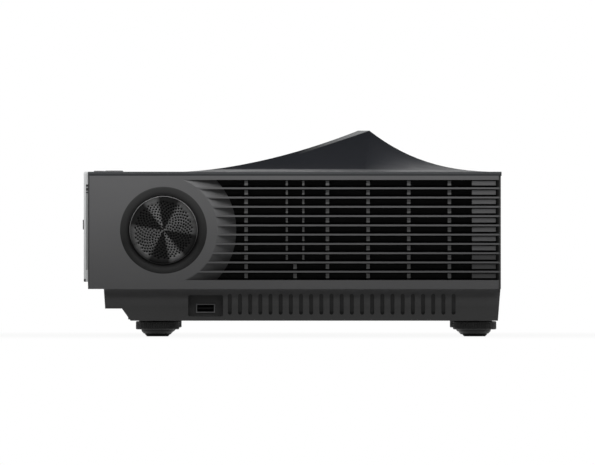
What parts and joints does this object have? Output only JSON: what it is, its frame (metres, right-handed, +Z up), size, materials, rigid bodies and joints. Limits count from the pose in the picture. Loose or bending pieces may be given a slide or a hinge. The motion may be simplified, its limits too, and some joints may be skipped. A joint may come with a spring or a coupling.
{
  "type": "projector",
  "caption": "Ultra-short-throw laser projector: low dark case, louvred sides with round speakers, swept hood with a tilted light window, stepped tray and screw feet.",
  "frame": {"origin": "on the surface the feet stand on, below the middle of the projector's box", "axes": "+X from the rear, which faces the wall, to the front; +Y from the left side, which the picture shows, to the right side; +Z up"},
  "size_m": [0.3144, 0.383, 0.155],
  "materials": {
    "case": "satin dark grey moulded plastic, very fine texture",
    "case_top": "satin dark grey moulded plastic",
    "tray": "near-black moulded plastic, fine spark texture",
    "bezel": "black moulded plastic",
    "window": "coated clear glass over a dark light path",
    "ir_window": "gloss black, passes infra-red",
    "rear_plate": "fine powder coat",
    "rear_trim": "light grey satin edge",
    "socket_metal": "bright nickel plate",
    "socket_plastic": "black moulded plastic",
    "steel": "zinc-plated sheet",
    "cast_aluminium": "cast, bead-blasted",
    "board": "green solder mask",
    "lens_black": "flat black",
    "lens_glass": "coated glass",
    "mirror": "front-surface mirror",
    "laser_block": "copper-toned cold plate with laser caps",
    "fan_plastic": "black glass-filled plastic",
    "speaker_black": "black stamped steel",
    "speaker_cone": "coated paper cone with rubber surround",
    "filter_cloth": "black woven filter cloth",
    "grille": "dark metal, finely perforated, satin",
    "phosphor": "yellow phosphor on an aluminium disc",
    "keys": "satin moulded plastic",
    "foot_black": "black moulded plastic",
    "foot_rubber": "soft black rubber",
    "brass": "turned brass"
  },
  "bodies": {
    "root": {"audio_jacks": "socket_plastic", "base_tray": "tray", "case_screws": "steel", "chassis_frame": "steel", "concave_mirror": "mirror", "dmd_board": "board", "dmd_heat_sink": "cast_aluminium", "dust_filters": "filter_cloth", "engine_housing": "cast_aluminium", "fan_frames": "fan_plastic", "focus_motor": "steel", "foot_bushes": "brass", "front_panel": "case", "key_board": "board", "laser_heat_sink": "cast_aluminium", "laser_module": "laser_block", "left_side_panel": "case", "left_speaker_frame": "speaker_black", "left_speaker_grille": "grille", "lens_barrel": "lens_black", "lens_elements": "lens_glass", "main_board": "board", "media_sockets": "socket_metal", "mirror_bracket": "lens_black", "mount_inserts": "brass", "network_socket": "socket_metal", "power_board": "board", "power_inlet": "socket_plastic", "rear_panel": "rear_plate", "rear_trim": "rear_trim", "receiver_windows": "ir_window", "right_side_panel": "case", "right_speaker_frame": "speaker_black", "right_speaker_grille": "grille", "side_usb_socket": "socket_metal", "status_lens": "ir_window", "top_cover": "case_top", "wheel_motor": "steel", "window_bezel": "bezel", "window_glass": "window"},
    "foot_pad_rear_left": {"foot_pad_rear_left": "foot_rubber"},
    "foot_collar_rear_left": {"foot_collar_rear_left": "foot_black"},
    "foot_pad_rear_right": {"foot_pad_rear_right": "foot_rubber"},
    "foot_collar_rear_right": {"foot_collar_rear_right": "foot_black"},
    "foot_pad_front_left": {"foot_pad_front_left": "foot_rubber"},
    "foot_collar_front_left": {"foot_collar_front_left": "foot_black"},
    "foot_pad_front_right": {"foot_pad_front_right": "foot_rubber"},
    "foot_collar_front_right": {"foot_collar_front_right": "foot_black"},
    "power_key": {"power_key": "keys"},
    "source_key": {"source_key": "keys"},
    "menu_key": {"menu_key": "keys"},
    "volume_up_key": {"volume_up_key": "keys"},
    "volume_down_key": {"volume_down_key": "keys"},
    "left_speaker_cone": {"left_speaker_cone": "speaker_cone"},
    "left_fan_rotor": {"left_fan_rotor": "fan_plastic"},
    "right_speaker_cone": {"right_speaker_cone": "speaker_cone"},
    "right_fan_rotor": {"right_fan_rotor": "fan_plastic"},
    "phosphor_wheel": {"phosphor_wheel": "phosphor"},
    "focus_carriage": {"focus_carriage": "lens_black"},
    "focus_screw": {"focus_screw": "steel"}
  },
  "joints": [
    {"name": "foot_height_rear_left", "type": "slide", "parent": "root", "child": "foot_pad_rear_left", "axis": [0, 0, -1], "range_m": [0, 0.008]},
    {"name": "foot_turn_rear_left", "type": "hinge", "parent": "foot_pad_rear_left", "child": "foot_collar_rear_left", "pos_m": [-0.101, -0.164, 0.008], "axis": [0, 0, 1], "range_deg": [0, 2304]},
    {"name": "foot_height_rear_right", "type": "slide", "parent": "root", "child": "foot_pad_rear_right", "axis": [0, 0, -1], "range_m": [0, 0.008]},
    {"name": "foot_turn_rear_right", "type": "hinge", "parent": "foot_pad_rear_right", "child": "foot_collar_rear_right", "pos_m": [-0.101, 0.164, 0.008], "axis": [0, 0, 1], "range_deg": [0, 2304]},
    {"name": "foot_height_front_left", "type": "slide", "parent": "root", "child": "foot_pad_front_left", "axis": [0, 0, -1], "range_m": [0, 0.008]},
    {"name": "foot_turn_front_left", "type": "hinge", "parent": "foot_pad_front_left", "child": "foot_collar_front_left", "pos_m": [0.1372, -0.164, 0.008], "axis": [0, 0, 1], "range_deg": [0, 2304]},
    {"name": "foot_height_front_right", "type": "slide", "parent": "root", "child": "foot_pad_front_right", "axis": [0, 0, -1], "range_m": [0, 0.008]},
    {"name": "foot_turn_front_right", "type": "hinge", "parent": "foot_pad_front_right", "child": "foot_collar_front_right", "pos_m": [0.1372, 0.164, 0.008], "axis": [0, 0, 1], "range_deg": [0, 2304]},
    {"name": "power_key_press", "type": "slide", "parent": "root", "child": "power_key", "axis": [0, 0, -1], "range_m": [0, 0.0006], "stiffness_N_per_m": 900},
    {"name": "source_key_press", "type": "slide", "parent": "root", "child": "source_key", "axis": [0, 0, -1], "range_m": [0, 0.0006], "stiffness_N_per_m": 900},
    {"name": "menu_key_press", "type": "slide", "parent": "root", "child": "menu_key", "axis": [0, 0, -1], "range_m": [0, 0.0006], "stiffness_N_per_m": 900},
    {"name": "volume_up_key_press", "type": "slide", "parent": "root", "child": "volume_up_key", "axis": [0, 0, -1], "range_m": [0, 0.0006], "stiffness_N_per_m": 900},
    {"name": "volume_down_key_press", "type": "slide", "parent": "root", "child": "volume_down_key", "axis": [0, 0, -1], "range_m": [0, 0.0006], "stiffness_N_per_m": 900},
    {"name": "left_cone_stroke", "type": "slide", "parent": "root", "child": "left_speaker_cone", "axis": [0, -1, 0], "range_m": [-0.0008, 0.0008], "stiffness_N_per_m": 1500},
    {"name": "left_fan_spin", "type": "hinge", "parent": "root", "child": "left_fan_rotor", "pos_m": [0.058, -0.17, 0.0781], "axis": [0, 1, 0], "continuous": true},
    {"name": "right_cone_stroke", "type": "slide", "parent": "root", "child": "right_speaker_cone", "axis": [0, 1, 0], "range_m": [-0.0008, 0.0008], "stiffness_N_per_m": 1500},
    {"name": "right_fan_spin", "type": "hinge", "parent": "root", "child": "right_fan_rotor", "pos_m": [0.058, 0.17, 0.0781], "axis": [0, 1, 0], "continuous": true},
    {"name": "phosphor_wheel_spin", "type": "hinge", "parent": "root", "child": "phosphor_wheel", "pos_m": [-0.029, 0.078, 0.068], "axis": [1, 0, 0], "continuous": true},
    {"name": "focus_shift", "type": "slide", "parent": "root", "child": "focus_carriage", "axis": [1, 0, 0], "range_m": [-0.0015, 0.0015]},
    {"name": "focus_screw_turn", "type": "hinge", "parent": "root", "child": "focus_screw", "pos_m": [-0.013, 0.033, 0.075], "axis": [1, 0, 0], "range_deg": [-1080.01, 1080.01]}
  ],
  "couplings": [
    {"joint": "foot_turn_rear_left", "follows": "foot_height_rear_left", "rad_per_m": 5026.5},
    {"joint": "foot_turn_rear_right", "follows": "foot_height_rear_right", "rad_per_m": 5026.5},
    {"joint": "foot_turn_front_left", "follows": "foot_height_front_left", "rad_per_m": 5026.5},
    {"joint": "foot_turn_front_right", "follows": "foot_height_front_right", "rad_per_m": 5026.5},
    {"joint": "focus_screw_turn", "follows": "focus_shift", "rad_per_m": 12566}
  ]
}
